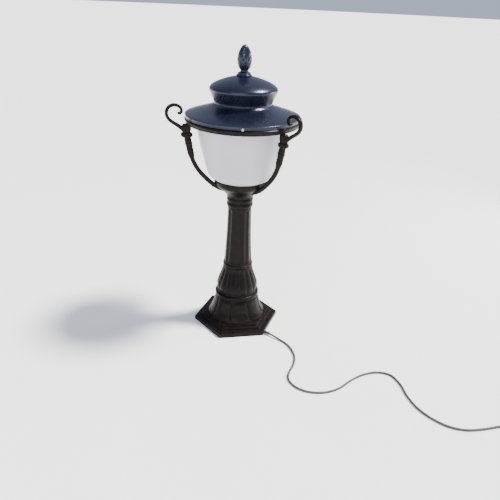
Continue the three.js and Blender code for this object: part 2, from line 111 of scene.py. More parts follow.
# ---------------------------------------------------------------- materials
class Nodes:
    """Short ways to add and join the nodes of one material."""

    def __init__(self, name):
        self.material = bpy.data.materials.new(name)
        self.material.use_nodes = True
        self.tree = self.material.node_tree
        self.shader = self.tree.nodes["Principled BSDF"]
        self.place = self.tree.nodes.new("ShaderNodeTexCoord").outputs["Object"]

    def add(self, kind, **values):
        node = self.tree.nodes.new(kind)
        for key, value in values.items():
            setattr(node, key, value)
        return node

    def join(self, output, target):
        self.tree.links.new(output, target)

    def noise(self, scale, detail=3.0, stretch=None):
        """Noise value; scale is in features per metre."""
        node = self.add("ShaderNodeTexNoise")
        node.inputs["Scale"].default_value = scale
        node.inputs["Detail"].default_value = detail
        source = self.place
        if stretch:
            mapping = self.add("ShaderNodeMapping")
            mapping.inputs["Scale"].default_value = stretch
            self.join(source, mapping.inputs["Vector"])
            source = mapping.outputs["Vector"]
        self.join(source, node.inputs["Vector"])
        return node.outputs["Fac"]

    def span(self, value, low, high, source=(0.3, 0.7)):
        """Maps a value in the source range to low...high."""
        node = self.add("ShaderNodeMapRange")
        limits = {"From Min": source[0], "From Max": source[1], "To Min": low, "To Max": high}
        for socket, number in limits.items():
            node.inputs[socket].default_value = number
        self.join(value, node.inputs["Value"])
        return node.outputs["Result"]

    def blend(self, factor, first, second):
        """Mixes two colours, each a tuple or an output."""
        node = self.add("ShaderNodeMix", data_type="RGBA")
        self.join(factor, node.inputs["Factor"])
        for socket, colour in ((node.inputs[6], first), (node.inputs[7], second)):
            if isinstance(colour, tuple):
                socket.default_value = (*colour, 1)
            else:
                self.join(colour, socket)
        return node.outputs[2]

    def edges(self, low, high):
        """1 along convex edges, 0 on flat faces."""
        output = self.add("ShaderNodeNewGeometry").outputs["Pointiness"]
        return self.span(output, 0, 1, (low, high))

    def bump(self, height, depth, chain=None):
        """Raises the surface by up to a depth in metres."""
        node = self.add("ShaderNodeBump")
        node.inputs["Distance"].default_value = depth
        self.join(height, node.inputs["Height"])
        if chain:
            self.join(chain, node.inputs["Normal"])
        return node.outputs["Normal"]

    def finish(self, colour=None, roughness=None, normal=None, **sockets):
        """Sets the shader: outputs are linked, numbers and tuples are set on its own sockets."""
        for name, value in (("Base Color", colour), ("Roughness", roughness), ("Normal", normal)):
            if value is None:
                continue
            if isinstance(value, bpy.types.NodeSocket):
                self.join(value, self.shader.inputs[name])
            else:
                self.shader.inputs[name].default_value = value
        for name, value in sockets.items():
            self.shader.inputs[name.replace("_", " ")].default_value = value
        return self.material


def cast_paint():
    """Brown-black paint on a sand casting: fine pebble, worn reddish edges that double as a painted edge
    highlight, dust.
    """
    n = Nodes("cast_paint")
    body = n.blend(n.span(n.noise(22), 0, 1), (0.0028, 0.0025, 0.0026), (0.0080, 0.0050, 0.0041))
    dusty = n.blend(n.span(n.noise(140, 5), 0, 0.22, (0.55, 0.75)), body, (0.030, 0.024, 0.020))
    # Convex edges painted reddish brown and lighter: real wear, and also a painted highlight along the edges.
    lighter_edges = n.blend(n.edges(0.53, 0.60), dusty, (0.038, 0.018, 0.013))
    grain = n.bump(n.noise(520, 4), 0.00035)
    cast = n.bump(n.noise(90, 2), 0.0006, grain)
    return n.finish(lighter_edges, n.span(n.noise(60, 4), 0.32, 0.48), cast, Specular_IOR_Level=0.065,
                    Coat_Weight=0.06, Coat_Roughness=0.16)


def canopy_paint():
    """Satin blue-black paint on spun aluminium: smooth, with faint spinning rings, specks of dust and a
    painted highlight along its convex edges.
    """
    n = Nodes("canopy_paint")
    body = n.blend(n.span(n.noise(14), 0, 1), (0.0026, 0.0032, 0.0090), (0.0038, 0.0047, 0.0130))
    dusty = n.blend(n.span(n.noise(210, 6), 0, 0.03, (0.55, 0.72)), body, (0.07, 0.08, 0.11))
    # Convex edges painted a shade lighter: a painted highlight along the edges, not wear.
    lighter_edges = n.blend(n.edges(0.56, 0.66), dusty, (0.012, 0.014, 0.022))
    rings = n.bump(n.noise(55, 2, (0.2, 0.2, 9)), 0.00012)
    peel = n.bump(n.noise(700, 2), 0.00005, rings)
    return n.finish(lighter_edges, n.span(n.noise(80, 4), 0.26, 0.32), peel, Specular_IOR_Level=0.46,
                    Specular_Tint=(0.66, 0.75, 1.0, 1), Coat_Weight=0.05, Coat_Roughness=0.2)


def opal():
    """Frosted opal acrylic: soft, slightly cloudy, light gets into it."""
    n = Nodes("opal")
    cloud = n.blend(n.span(n.noise(7, 2, (1, 1, 0.35)), 0, 1), (0.42, 0.42, 0.45), (0.49, 0.49, 0.51))
    dirt = n.blend(n.span(n.noise(260, 6), 0, 0.25, (0.6, 0.78)), cloud, (0.42, 0.39, 0.36))
    frost = n.bump(n.noise(900, 2), 0.00003)
    return n.finish(dirt, n.span(n.noise(120, 3), 0.36, 0.46), frost, Subsurface_Weight=0.35,
                    Subsurface_Radius=(0.02, 0.02, 0.022), Subsurface_Scale=0.6)


def zinc():
    n = Nodes("zinc")
    tone = n.blend(n.span(n.noise(400, 3), 0, 1), (0.20, 0.20, 0.21), (0.36, 0.36, 0.35))
    lighter_edges = n.blend(n.edges(0.52, 0.6), tone, (0.55, 0.55, 0.54))
    crystals = n.bump(n.noise(1500, 2), 0.00005)
    return n.finish(lighter_edges, n.span(n.noise(900, 3), 0.25, 0.5), crystals, Metallic=0.95)


def rolled_brass():
    n = Nodes("rolled_brass")
    tone = n.blend(n.span(n.noise(300, 3), 0, 1), (0.55, 0.40, 0.17), (0.72, 0.56, 0.27))
    drawn = n.bump(n.noise(1200, 2), 0.00004)
    return n.finish(tone, n.span(n.noise(700, 3), 0.2, 0.38), drawn, Metallic=1.0)


def soft_rubber(name, dark, dusty):
    n = Nodes(name)
    tone = n.blend(n.span(n.noise(180, 5), 0, 1, (0.4, 0.7)), dark, dusty)
    grain = n.bump(n.noise(1400, 3), 0.00006)
    return n.finish(tone, n.span(n.noise(240, 3), 0.55, 0.8), grain)


def glazed_ceramic():
    n = Nodes("glazed_ceramic")
    tone = n.blend(n.span(n.noise(60, 4), 0, 1), (0.78, 0.75, 0.69), (0.86, 0.84, 0.79))
    ripple = n.bump(n.noise(260, 2), 0.0001)
    return n.finish(tone, n.span(n.noise(150, 3), 0.14, 0.3), ripple, Coat_Weight=0.5)


def white_bulb():
    n = Nodes("white_bulb")
    tone = n.blend(n.span(n.noise(30, 2), 0, 1), (0.84, 0.83, 0.79), (0.90, 0.89, 0.86))
    return n.finish(tone, n.span(n.noise(200, 2), 0.16, 0.24), n.bump(n.noise(600, 2), 0.00002),
                    Subsurface_Weight=0.2, Subsurface_Radius=(0.01, 0.01, 0.01))


def nylon():
    n = Nodes("nylon")
    tone = n.blend(n.span(n.noise(120, 3), 0, 1), (0.70, 0.69, 0.63), (0.80, 0.79, 0.74))
    return n.finish(tone, n.span(n.noise(200, 3), 0.4, 0.55), n.bump(n.noise(900, 2), 0.00005))


materials = {
    "cast_black": cast_paint(),
    "canopy_paint": canopy_paint(),
    "opal": opal(),
    "steel": zinc(),
    "gasket": soft_rubber("gasket_rubber", (0.016, 0.016, 0.017), (0.045, 0.043, 0.040)),
    "ceramic": glazed_ceramic(),
    "brass": rolled_brass(),
    "bulb_glass": white_bulb(),
    "terminal_plastic": nylon(),
    "cord": soft_rubber("cord_rubber", (0.030, 0.030, 0.024), (0.085, 0.080, 0.062)),
    "plug_rubber": soft_rubber("plug_rubber", (0.014, 0.014, 0.014), (0.040, 0.040, 0.038)),
}


# ---------------------------------------------------------------- outlines and meshes
def through(points, step, closed=False):
    """Points about a step apart on the centripetal Catmull-Rom curve through the given points."""
    knots = [Vector(p) for p in points]
    if closed:
        run = [knots[-1], *knots, knots[0], knots[1]]
    else:
        run = [2 * knots[0] - knots[1], *knots, 2 * knots[-1] - knots[-2]]
    line = []
    for before, a, b, after in zip(run, run[1:], run[2:], run[3:]):
        gaps = [math.sqrt((q - p).length) for p, q in ((before, a), (a, b), (b, after))]
        leave = (a - before) / gaps[0] - (b - before) / (gaps[0] + gaps[1]) + (b - a) / gaps[1]
        arrive = (b - a) / gaps[1] - (after - a) / (gaps[1] + gaps[2]) + (after - b) / gaps[2]
        leave, arrive = leave * gaps[1], arrive * gaps[1]
        count = max(1, round((b - a).length / step))
        for i in range(count):
            t = i / count
            line.append((2 * t**3 - 3 * t**2 + 1) * a + (t**3 - 2 * t**2 + t) * leave
                        + (3 * t**2 - 2 * t**3) * b + (t**3 - t**2) * arrive)
    return line if closed else [*line, knots[-1]]


def outline(*stretches):
    """Outline in mm from stretches that follow each other: one point more is straight, several are curved."""
    line = [Vector(stretches[0][0])]
    for number, stretch in enumerate(stretches):
        more = stretch[1:] if number == 0 else stretch
        knots = [line[-1], *[Vector(p) for p in more]]
        line += through(knots, CURVE_STEP)[1:] if len(knots) > 2 else knots[1:]
    return line


def eased(line, radius, closed=True):
    """Rounds the corners of an outline."""
    count = len(line)
    eased_line = []
    for i, point in enumerate(line):
        if not closed and i in (0, count - 1):
            eased_line.append(point)
            continue
        back, on = line[i - 1] - point, line[(i + 1) % count] - point
        turn = math.pi - back.angle(on)
        if turn < math.radians(18):
            eased_line.append(point)
            continue
        reach = min(radius * math.tan(turn / 2), back.length * 0.45, on.length * 0.45)
        start, end = point + back.normalized() * reach, point + on.normalized() * reach
        for t in (0, 0.25, 0.5, 0.75, 1):
            eased_line.append((1 - t) ** 2 * start + 2 * t * (1 - t) * point + t**2 * end)
    return eased_line


def lathe(line, segments=SEGMENTS, form=None):
    """Closed turned body from an outline in mm. form(radius, height, angle) may reshape each point."""
    vertices, rows = [], []
    for radius, height in line:
        if radius < 0.001:
            rows.append([len(vertices)])
            vertices.append((0, 0, height * MM))
            continue
        rows.append(range(len(vertices), len(vertices) + segments))
        for k in range(segments):
            angle = 2 * math.pi * k / segments
            r, z = form(radius, height, angle) if form else (radius, height)
            vertices.append((r * MM * math.cos(angle), r * MM * math.sin(angle), z * MM))
    if len(rows[0]) > 1:
        rows.append(rows[0])
    faces = []
    for low, high in zip(rows, rows[1:]):
        for k in range(segments):
            following = (k + 1) % segments
            corners = [low[k % len(low)], low[following % len(low)],
                       high[following % len(high)], high[k % len(high)]]
            faces.append(tuple(dict.fromkeys(corners)))
    return vertices, faces


def rounded_section(corners=28, squareness=0.45):
    """Points of a rounded square of half size 1."""
    points = []
    for k in range(corners):
        c, s = math.cos(2 * math.pi * k / corners), math.sin(2 * math.pi * k / corners)
        points.append((math.copysign(abs(c) ** squareness, c), math.copysign(abs(s) ** squareness, s)))
    return points


def sweep(stations, section, closed=False):
    """Body swept through stations of (centre, first half axis, second half axis), in metres."""
    vertices, faces = [], []
    for centre, first, second in stations:
        vertices += [centre + first * u + second * v for u, v in section]
    size, count = len(section), len(stations)
    for i in range(count if closed else count - 1):
        here, there = i * size, (i + 1) % count * size
        for k in range(size):
            n = (k + 1) % size
            faces.append((here + k, here + n, there + n, there + k))
    if not closed:
        faces.append(tuple(range(size)))
        faces.append(tuple(range((count - 1) * size, count * size)))
    return vertices, faces


def merged(*shapes):
    vertices, faces = [], []
    for more_vertices, more_faces in shapes:
        start = len(vertices)
        vertices += more_vertices
        faces += [tuple(start + i for i in face) for face in more_faces]
    return vertices, faces


def moved(shape, matrix):
    vertices, faces = shape
    return [matrix @ Vector(v) for v in vertices], faces


def aimed(origin, direction):
    """Matrix that carries +Z at the origin to a direction at a place."""
    return Matrix.Translation(origin) @ Vector(direction).to_track_quat("Z", "X").to_matrix().to_4x4()


def solid(name, shape):
    """Plain object with its faces pointing out."""
    mesh = bpy.data.meshes.new(name)
    vertices, faces = shape
    mesh.from_pydata(vertices, [], faces)
    work = bmesh.new()
    work.from_mesh(mesh)
    bmesh.ops.recalc_face_normals(work, faces=work.faces)
    work.to_mesh(mesh)
    work.free()
    return link(name, mesh)


def smooth_shading(thing):
    thing.data.shade_smooth()
    thing.data.set_sharp_from_angle(angle=math.radians(CREASE))


def carve(thing, *cutters):
    """Cuts the cutters out of the thing, and removes them."""
    for cutter in cutters:
        modifier = thing.modifiers.new("cut", "BOOLEAN")
        modifier.object = cutter
        modifier.solver = "EXACT"
    view = bpy.context.evaluated_depsgraph_get()
    carved = bpy.data.meshes.new_from_object(thing.evaluated_get(view))
    thing.modifiers.clear()
    thing.data = carved
    for cutter in cutters:
        bpy.data.objects.remove(cutter)


def piece(name, shape, *nodes, cutters=()):
    """Visible piece that stands for CAD nodes, with their body, slot and material."""
    thing = solid(name, shape)
    if cutters:
        carve(thing, *cutters)
    slot = slot_of[nodes[0]]
    thing.data.materials.clear()
    thing.data.materials.append(materials[slot])
    smooth_shading(thing)
    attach(thing, body_of[nodes[0]])
    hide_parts(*nodes)
    return thing


def block(low, high, matrix=None):
    """Box between two corners in mm, as a cutter."""
    corners = [Vector(corner) * MM for corner in itertools.product(*zip(low, high))]
    faces = [(0, 1, 3, 2), (4, 6, 7, 5), (0, 4, 5, 1), (2, 3, 7, 6), (0, 2, 6, 4), (1, 5, 7, 3)]
    return moved((corners, faces), matrix or Matrix())


def pin(radius, start, end, segments=32):
    """Round bar along +Z in mm."""
    return lathe([(0, start), (radius, start), (radius, end), (0, end)], segments)


def swung(degrees):
    """Matrix that turns round the lamp's axis."""
    return Matrix.Rotation(math.radians(degrees), 4, "Z")


def radial(degrees, height):
    """Matrix that lays +Z outwards from the lamp's axis, at an angle and a height in mm."""
    lift = Matrix.Translation((0, 0, height * MM))
    return swung(degrees) @ lift @ Matrix.Rotation(math.radians(90), 4, "Y")


def rise(value, low, high):
    """0 below low, 1 above high, easing between them."""
    t = max(0.0, min(1.0, (value - low) / (high - low)))
    return t * t * (3 - 2 * t)


def fade(value, low, high, width):
    """1 between low and high, easing to 0 over a width inside each end."""
    return rise(min(value - low, high - value), 0, width)


def ribs(low, high, ease, depth, pitch, core=0):
    """Lathe form with grooves a pitch apart between two heights, on what lies outside a core radius."""
    def form(radius, height, _angle):
        shown = fade(height, low, high, ease) if radius > core else 0
        return radius - depth * shown * (0.5 + 0.5 * math.cos(2 * math.pi * height / pitch)), height

    return form


# ---------------------------------------------------------------- free cord
CORD_DIAMETER = 7.0
ENTRY_FLAT = -30                  # direction of the flat of the foot that the cable comes through
ENTRY_ANGLE = -46                 # direction in which the cable leaves
ENTRY_OFFSET = 65                 # along the flat, from its middle
ENTRY_HEIGHT = 8.5
SLEEVE = 24                       # how far the strain relief stands out
SLEEVE_BORE = 3.45
SLEEVE_STEP = 0.5                 # between points of its outline, fine enough for the ribs
COIL_PITCH = 7.15                 # from one turn of the coil to the next
LAYER_RISE = 7.0                  # height of the upper layer of the coil above the lower
COIL_TURNS = 3                    # turns in each layer of the coil
POINTS_PER_TURN = 24
LOOSE_BEFORE = 0.15               # turns before the end of the upper layer where the cord starts to leave
LOOSE_AFTER = 0.25                # turns that it follows the coil after that layer
TIE_ANGLE = 130
TIE_POINTS = 72
TIE_HALF_THICKNESS = 0.45
TIE_HALF_WIDTH = 6.8
PLUG_ANGLE = 72
PLUG_OFFSET = (62, 46)            # from the coil's centre to the rear of the plug
PLUG_FLATNESS = 13 / 18           # height of the moulding over its width
PRONG_OFFSET = 9.5

foot_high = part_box("base_casting")[1]
coil_low, coil_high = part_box("cord_coil")
coil_centre = (coil_low + coil_high) / 2 / MM
coil_outer_turn = (coil_high.x - coil_low.x) / 2 / MM - CORD_DIAMETER / 2
coil_layer = coil_low.z / MM + CORD_DIAMETER / 2
entry_out = heading(ENTRY_ANGLE)
entry = heading(ENTRY_FLAT) * foot_high.y / MM + heading(ENTRY_FLAT - 90) * ENTRY_OFFSET
entry.z = ENTRY_HEIGHT
cord_exit = entry + entry_out * (SLEEVE + 0.3)

CORD_ROUTE = [                    # mm, from the sleeve over the ground to the coil
    (121, -161, 7.2), (137, -179, 5.2), (150, -196, 4), (160, -216, 3.7), (167, -245, 3.7), (168, -276, 3.7),
    (160, -307, 3.7), (145, -336, 3.7), (127, -364, 3.7), (119, -388, 3.7), (122, -412, 3.7),
    (137, -438, 3.7), (168, -460, 3.7), (206, -469, 3.7), (241, -467, 3.7), (276, -455, 3.7),
    (328, -423, 3.7), (380, -401, 3.7), (432, -397, 3.7), (468, -415, 3.7), (482, -462, 3.7),
    (481, -520, 3.7), (491, -578, 3.7), (518, -627, 3.7), (553, -661, 3.7), (594, -678, 3.7),
    (642, -682, 3.8), (700, -679, 4.2), (750, -677.7, 4.8),
]


def coil_points():
    """The coil: a layer wound inwards, a turn that climbs, and a layer wound outwards over it."""
    all_turns = 2 * COIL_TURNS + 1
    points = []
    for i in range(int((all_turns + LOOSE_AFTER) * POINTS_PER_TURN) + 1):
        turns = i / POINTS_PER_TURN
        climb = max(0.0, min(1.0, turns - COIL_TURNS))
        lift = LAYER_RISE * math.sqrt(1 - (1 - climb) ** 2)
        wound = min(turns, COIL_TURNS, max(0.0, all_turns - turns))
        loose = max(0.0, turns - (all_turns - LOOSE_BEFORE)) / (LOOSE_BEFORE + LOOSE_AFTER)
        radius = coil_outer_turn - COIL_PITCH * wound + COIL_PITCH * loose**1.5
        level = Vector((coil_centre.x, coil_centre.y, coil_layer + lift))
        points.append(level + heading(360 * turns - 90) * radius)
    return points


plug_low, plug_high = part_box("plug_body")
plug_out = heading(PLUG_ANGLE)
plug_rear = coil_centre + Vector((*PLUG_OFFSET, 0))
plug_rear.z = (plug_low.z + plug_high.z) / 2 / MM


def make_cord():
    """The free cord: out of the sleeve, along its route, round the coil, and down into the plug."""
    end = [plug_rear - plug_out * 22, plug_rear - plug_out * 9, plug_rear + plug_out * 3]
    end[0].z = coil_layer + LAYER_RISE + 0.8
    knots = [cord_exit - entry_out * 4, cord_exit, *CORD_ROUTE, *coil_points(), *end]
    line = through(knots, 5.0)
    data = bpy.data.curves.new("cord", "CURVE")
    data.dimensions = "3D"
    data.bevel_depth = CORD_DIAMETER / 2 * MM
    data.bevel_resolution = 5
    data.use_fill_caps = True
    spline = data.splines.new("POLY")
    spline.points.add(len(line) - 1)
    for point, place in zip(spline.points, line):
        point.co = (*(place * MM), 1)
    data.materials.append(materials["cord"])
    thing = link("cord", data)
    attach(thing, body_of["cord_run"])
    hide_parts("cord_run", "cord_coil", "cord_end")
    return thing


def make_sleeve():
    """Tapered strain relief with ribs, pushed into the side of the foot."""
    line = outline([(SLEEVE_BORE, -12), (6, -12)], [(6, 5)], [(5.4, 14), (4.9, SLEEVE)],
                   [(SLEEVE_BORE, SLEEVE)])
    line = eased(line, 0.5)
    refined = [line[0]]
    for point in line[1:]:
        steps = max(1, int((point - refined[-1]).length / SLEEVE_STEP))
        refined += [refined[-1].lerp(point, (k + 1) / steps) for k in range(steps)]
    sleeve = lathe(refined, 40, ribs(3, SLEEVE - 2, 2, 0.45, 3.2))
    return piece("cable_sleeve", moved(sleeve, aimed(entry * MM, entry_out)), "entry_sleeve")


def along_plug(shape, flat=1.0):
    """Carries a shape drawn along +Z to the plug's axis, flattened in height."""
    lay = swung(PLUG_ANGLE) @ Matrix.Diagonal((1, 1, flat, 1)) @ Matrix.Rotation(math.radians(90), 4, "Y")
    return moved(shape, Matrix.Translation(plug_rear * MM) @ lay)


def make_plug():
    body = outline([(0, 24.3), (8.5, 24.3)], [(11, 27), (14, 33), (16.7, 41), (18, 50), (17.8, 60)],
                   [(16.6, 62)], [(0, 62)])
    relief = outline([(0, 0.4), (4.4, 0.4)], [(4.9, 8), (5.6, 16), (6.3, 24)], [(0, 24)])
    prong = outline([(0, 54.4), (2.3, 54.4)], [(2.3, 78.5)], [(1.9, 80.2), (1.1, 80.9), (0, 81)])
    sides = [Matrix.Translation((0, y * MM, 0)) for y in (-PRONG_OFFSET, PRONG_OFFSET)]
    holes = [solid("hole", along_plug(moved(pin(2.5, 54, 63), side))) for side in sides]
    moulding = lathe(eased(body, 1.2, False), 96, ribs(34, 52, 3, 0.9, 3.6, core=8))
    bend_relief = lathe(eased(relief, 0.6, False), 48, ribs(4, 22, 2, 0.6, 4))
    parts = [
        piece("plug_moulding", along_plug(moulding, PLUG_FLATNESS), "plug_body", cutters=holes),
        piece("plug_bend_relief", along_plug(bend_relief), "plug_relief"),
    ]
    for number, side in enumerate(sides, start=1):
        shape = along_plug(moved(lathe(prong, 32), side))
        parts.append(piece(f"plug_prong_{number}", shape, f"plug_pin_{number}"))
    return parts


def make_tie():
    """Rubber band round the coil."""
    inside = coil_outer_turn - COIL_TURNS * COIL_PITCH - CORD_DIAMETER / 2 - 2
    outside = coil_outer_turn + CORD_DIAMETER / 2 + 0.5
    bottom, top = 0.55, coil_high.z / MM + 0.75
    middle, half_length = (inside + outside) / 2, (outside - inside) / 2 + TIE_HALF_THICKNESS
    half_height = (top - bottom) / 2
    loop = [Vector((middle + half_length * u, 0, bottom + half_height + half_height * v))
            for u, v in rounded_section(TIE_POINTS, 0.35)]
    width = Vector((0, TIE_HALF_WIDTH * MM, 0))
    stations = []
    for k, centre in enumerate(loop):
        along = (loop[(k + 1) % len(loop)] - loop[k - 1]).normalized()
        outwards = along.cross(Vector((0, 1, 0)))
        stations.append((centre * MM, outwards * TIE_HALF_THICKNESS * MM, width))
    place = Matrix.Translation((coil_centre.x * MM, coil_centre.y * MM, 0)) @ swung(TIE_ANGLE)
    band = sweep(stations, rounded_section(24, 0.3), closed=True)
    return piece("coil_strap", moved(band, place), "coil_tie")


# ---------------------------------------------------------------- foot and post
SLAB_TOP = 16
STEP_TOP = 24
HEX_TOP = 31
HEX_INSIDE = 108.2                # up to HEX_TOP, what lies outside this radius is a hexagon
FLARE_TOP = 112
FLARE_PETALS = 8
PETAL_DEPTH = 3.0
PETAL_BULGE = 1.2
PETAL_TOE = 15                    # how much the foot of a petal rises from its middle to its sides
VASE_TOP = 237
VASE_LOBES = 16
LOBE_DEPTH = 3.0
COLUMN_FLUTES = 12
FLUTE_DEPTH = 2.4
FLUTED_RADIUS = 41.5              # what lies inside this radius is the plain bore
FLUTE_ENDS = (252, 461)
ANCHOR_RADIUS = 129
ANCHOR_ANGLES = (-30, 90, 210)
ANCHOR_HOLE = 5.5                 # radius


def hexagonal(angle):
    """Radius of a hexagon with flats on +-Y, for an apothem of 1."""
    from_flat = (angle + math.pi / 3) % (math.pi / 3) - math.pi / 6
    return 1 / math.cos(from_flat)


def make_foot():
    """Hexagonal slab with two moulded steps, then a round flare pressed into petals, and a ring bead."""
    def form(radius, height, angle):
        if height <= HEX_TOP + 0.35 and radius > HEX_INSIDE:
            return radius * hexagonal(angle), height
        if height < HEX_TOP or height > FLARE_TOP:
            return radius, height
        across = abs((angle * FLARE_PETALS / (2 * math.pi) + 0.5) % 1 - 0.5) * 2
        toe = HEX_TOP + 3 + PETAL_TOE * (1 - math.sqrt(max(0.0, 1 - across**2)))
        recess = max(rise(across, 0.84, 1.0), 1 - rise(height, toe - 1.4, toe + 1.4))
        bulge = PETAL_BULGE * (1 - across**2) * fade(height, toe, FLARE_TOP, 14)
        return radius - PETAL_DEPTH * recess * fade(height, HEX_TOP - 9, FLARE_TOP, 9) + bulge, height

    line = outline(
        [(0, 4.4), (104.3, 4.4)], [(104.3, 0)], [(139.6, 0)], [(139.6, SLAB_TOP - 3)],
        [(138.6, SLAB_TOP - 1), (136.5, SLAB_TOP)], [(123.5, SLAB_TOP)],
        [(121, SLAB_TOP + 0.8), (120, SLAB_TOP + 3)], [(120, STEP_TOP - 2)],
        [(119.2, STEP_TOP - 0.5), (117.5, STEP_TOP)], [(113, STEP_TOP)],
        [(110.8, STEP_TOP + 0.7), (110, STEP_TOP + 2.5)], [(110, HEX_TOP - 1)], [(109.6, HEX_TOP)],
        [(108.6, HEX_TOP + 0.3)],
        [(107.5, 35), (103.2, 40.5), (99, 46), (92.5, 60), (88, 74), (83.5, 90), (80, 104), (77.4, 111)],
        [(77, 112.4)],
        [(79.6, 113.4), (81.6, 116.4), (82, 120.5), (81.4, 124.6), (79.6, 127.6), (77, 129)],
        [(0, 129)],
    )
    line = eased(line, 0.8, False)
    anchor = moved(pin(ANCHOR_HOLE, -1, SLAB_TOP + 2), Matrix.Translation((ANCHOR_RADIUS * MM, 0, 0)))
    holes = [solid("hole", moved(anchor, swung(angle))) for angle in ANCHOR_ANGLES]
    holes.append(solid("hole", moved(pin(6.3, -11, 8), aimed(entry * MM, entry_out))))
    return piece("foot", lathe(line, 288, form), "base_casting", cutters=holes)


def make_vase():
    def form(radius, height, angle):
        if radius <= min(70, 49 + 0.305 * (VASE_TOP - height)):
            return radius, height
        lobe = abs(math.sin(VASE_LOBES * angle / 2))
        return radius - LOBE_DEPTH * (1 - lobe) ** 1.3 * fade(height, 137, 232, 10), height

    line = outline(
        [(66, 129.3), (74, 129.3)], [(75.6, 131.5), (75.2, 135)], [(73, 137.5)],
        [(75.2, 145), (76.3, 154), (75.2, 163), (72.6, 172), (69, 183), (64.2, 196), (59.6, 209),
         (56, 222), (53.4, VASE_TOP)],
        [(45, VASE_TOP)], [(50, 215), (58, 192), (66, 165), (66, 140)],
    )
    return piece("vase", lathe(eased(line, 0.8), 192, form), "vase_casting")


def make_lower_collar():
    line = outline([(44, 237.3), (52, 237.3)], [(53.8, 239), (54.4, 242.3), (53.8, 245.6)],
                   [(52, 247.4)], [(44, 247.4)])
    return piece("collar", lathe(eased(line, 0.6)), "lower_collar")


def make_column():
    def form(radius, height, angle):
        if radius < FLUTED_RADIUS:
            return radius, height
        scoop = math.cos(COLUMN_FLUTES * angle / 2) ** 2
        low, high = FLUTE_ENDS
        rounding = 5 * (1 - scoop)
        return radius - FLUTE_DEPTH * scoop**0.7 * fade(height, low + rounding, high - rounding, 5), height

    line = outline(
        [(41, 247.7), (51.2, 247.7)],
        [(51, 251), (49.4, 270), (47.6, 300), (45.6, 335), (44, 370), (43, 405), (41.9, 440), (41.8, 460)],
        [(42.4, 466)], [(34, 466)], [(35, 400)],
    )
    return piece("column", lathe(eased(line, 0.6), 240, form), "column_shaft")


def make_column_head():
    line = outline(
        [(34, 466.3), (43.5, 466.3)], [(43.5, 469.6)],
        [(45.4, 471.6), (46.4, 475.5), (46.2, 479.5), (45, 482.4)], [(43.4, 483.6)], [(43.2, 488)],
        [(45.4, 490.2), (46.6, 494), (46.5, 498), (45.6, 501)], [(44.8, 503)], [(34, 503)],
    )
    return piece("capital", lathe(eased(line, 0.5)), "column_head")


def make_cup():
    line = outline(
        [(6.8, 528), (30, 528)], [(38, 518)], [(38, 503.3)], [(45.8, 503.3)],
        [(46.6, 507), (48.4, 511.5), (51.6, 517), (57, 523), (64.5, 529.7), (76, 538.4), (84.5, 545.8),
         (89.4, 553), (91.4, 560)],
        [(92, 564), (92, 568)], [(88, 568)], [(87, 558), (83, 550.5)], [(80, 548)], [(52, 548)],
        [(52, 536)], [(6.8, 536)],
    )
    return piece("cup_shell", lathe(eased(line, 0.8)), "cup")


# ---------------------------------------------------------------- arms
ARM_ANGLES = {"right": -55.3, "rear": 64.7, "left": 184.7}
ARM_HALF_WIDTH = 5.5
SCROLL_HALF_WIDTH = 6
TIP_SCALE = 0.12                  # size of the very end of a rounded tip
SCREW_WELL_RADIUS = 180           # from the lamp's axis
LEAF_RIPPLE = 0.10                # how far the leaf's lobes swell
LEAF_LOBE = 5                     # stations in each lobe
ARM_LINE = [                      # radius, height, half thickness from the cup to the head
    (60, 526, 1.5), (68, 531.5, 4.5), (78, 538, 6.6), (89, 546, 7.4), (104, 557.6, 7.6), (125, 578, 7.6),
    (144, 600, 7.4), (158, 622, 7.4), (167, 643, 7.4), (173.5, 668, 7.8), (178, 693, 8.2), (182, 716, 8.4),
    (184, 727, 8.4),
]
SCROLL_LINE = [                   # radius, height, half thickness from the head to the curled tip
    (182, 715, 6), (187, 728, 7), (195, 739.5, 7), (206, 748.5, 6.4), (218, 757, 5.8), (230.5, 765, 5.5),
    (241.5, 774.5, 5.3), (247.6, 787.5, 5.3), (246.6, 802, 5.2), (238.2, 813, 5.1), (225, 817.8, 5.1),
    (211.4, 815.2, 4.9), (202.2, 807.3, 4.7), (200.6, 797.6, 4.3), (205.6, 791.6, 4.0), (213.5, 794, 4.4),
]
LEAF_LINE = [                     # radius, height, half thickness, half width of the leaf that wraps the arm
    (163.2, 640, 1.2, 1.2), (166.4, 645, 6, 3.6), (170.2, 655, 9.4, 6.4), (173.4, 668, 10.4, 7.6),
    (176, 681, 10.2, 7.0), (178.6, 694, 11.2, 8.0), (181, 707, 10.6, 7.2), (182.6, 716, 10, 6.6),
]
HEAD_LEVELS = [                   # radius, height, half depth, half width of the moulded head
    (184, 713.5, 9.6, 6.6), (184, 716, 14, 7.4), (184.6, 719, 18, 8), (184.8, 723.5, 19, 8.4),
    (185, 728, 18, 8), (185.2, 730.5, 14, 7), (186, 733.5, 12.6, 6.8), (187, 737, 15.5, 7.6),
    (187, 745, 16, 7.8), (186, 752, 14, 7.8), (184.6, 756, 12.8, 7.6), (184.2, 757.6, 11.6, 7),
]


def arm_stations(points, half_width):
    """Stations of a strap whose points are radius, height, half thickness and perhaps half width."""
    line = through([(*p, half_width)[:4] for p in points], 2.2)
    stations = []
    for k, (r, z, thick, wide) in enumerate(line):
        back, on = line[max(k - 1, 0)], line[min(k + 1, len(line) - 1)]
        along = Vector((on[0] - back[0], 0, on[1] - back[1])).normalized()
        across = Vector((along.z, 0, -along.x))
        stations.append((Vector((r, 0, z)) * MM, across * thick * MM, Vector((0, wide * MM, 0))))
    return stations


def rounded_tip(stations, reach):
    """Shrinks the last stations towards their centre like the end of a finger."""
    end = stations[-1][0]
    shaped = []
    for centre, first, second in stations:
        left = min(1.0, (end - centre).length / (reach * MM))
        scale = max(TIP_SCALE, math.sqrt(1 - (1 - left) ** 2))
        shaped.append((centre, first * scale, second * scale))
    return shaped


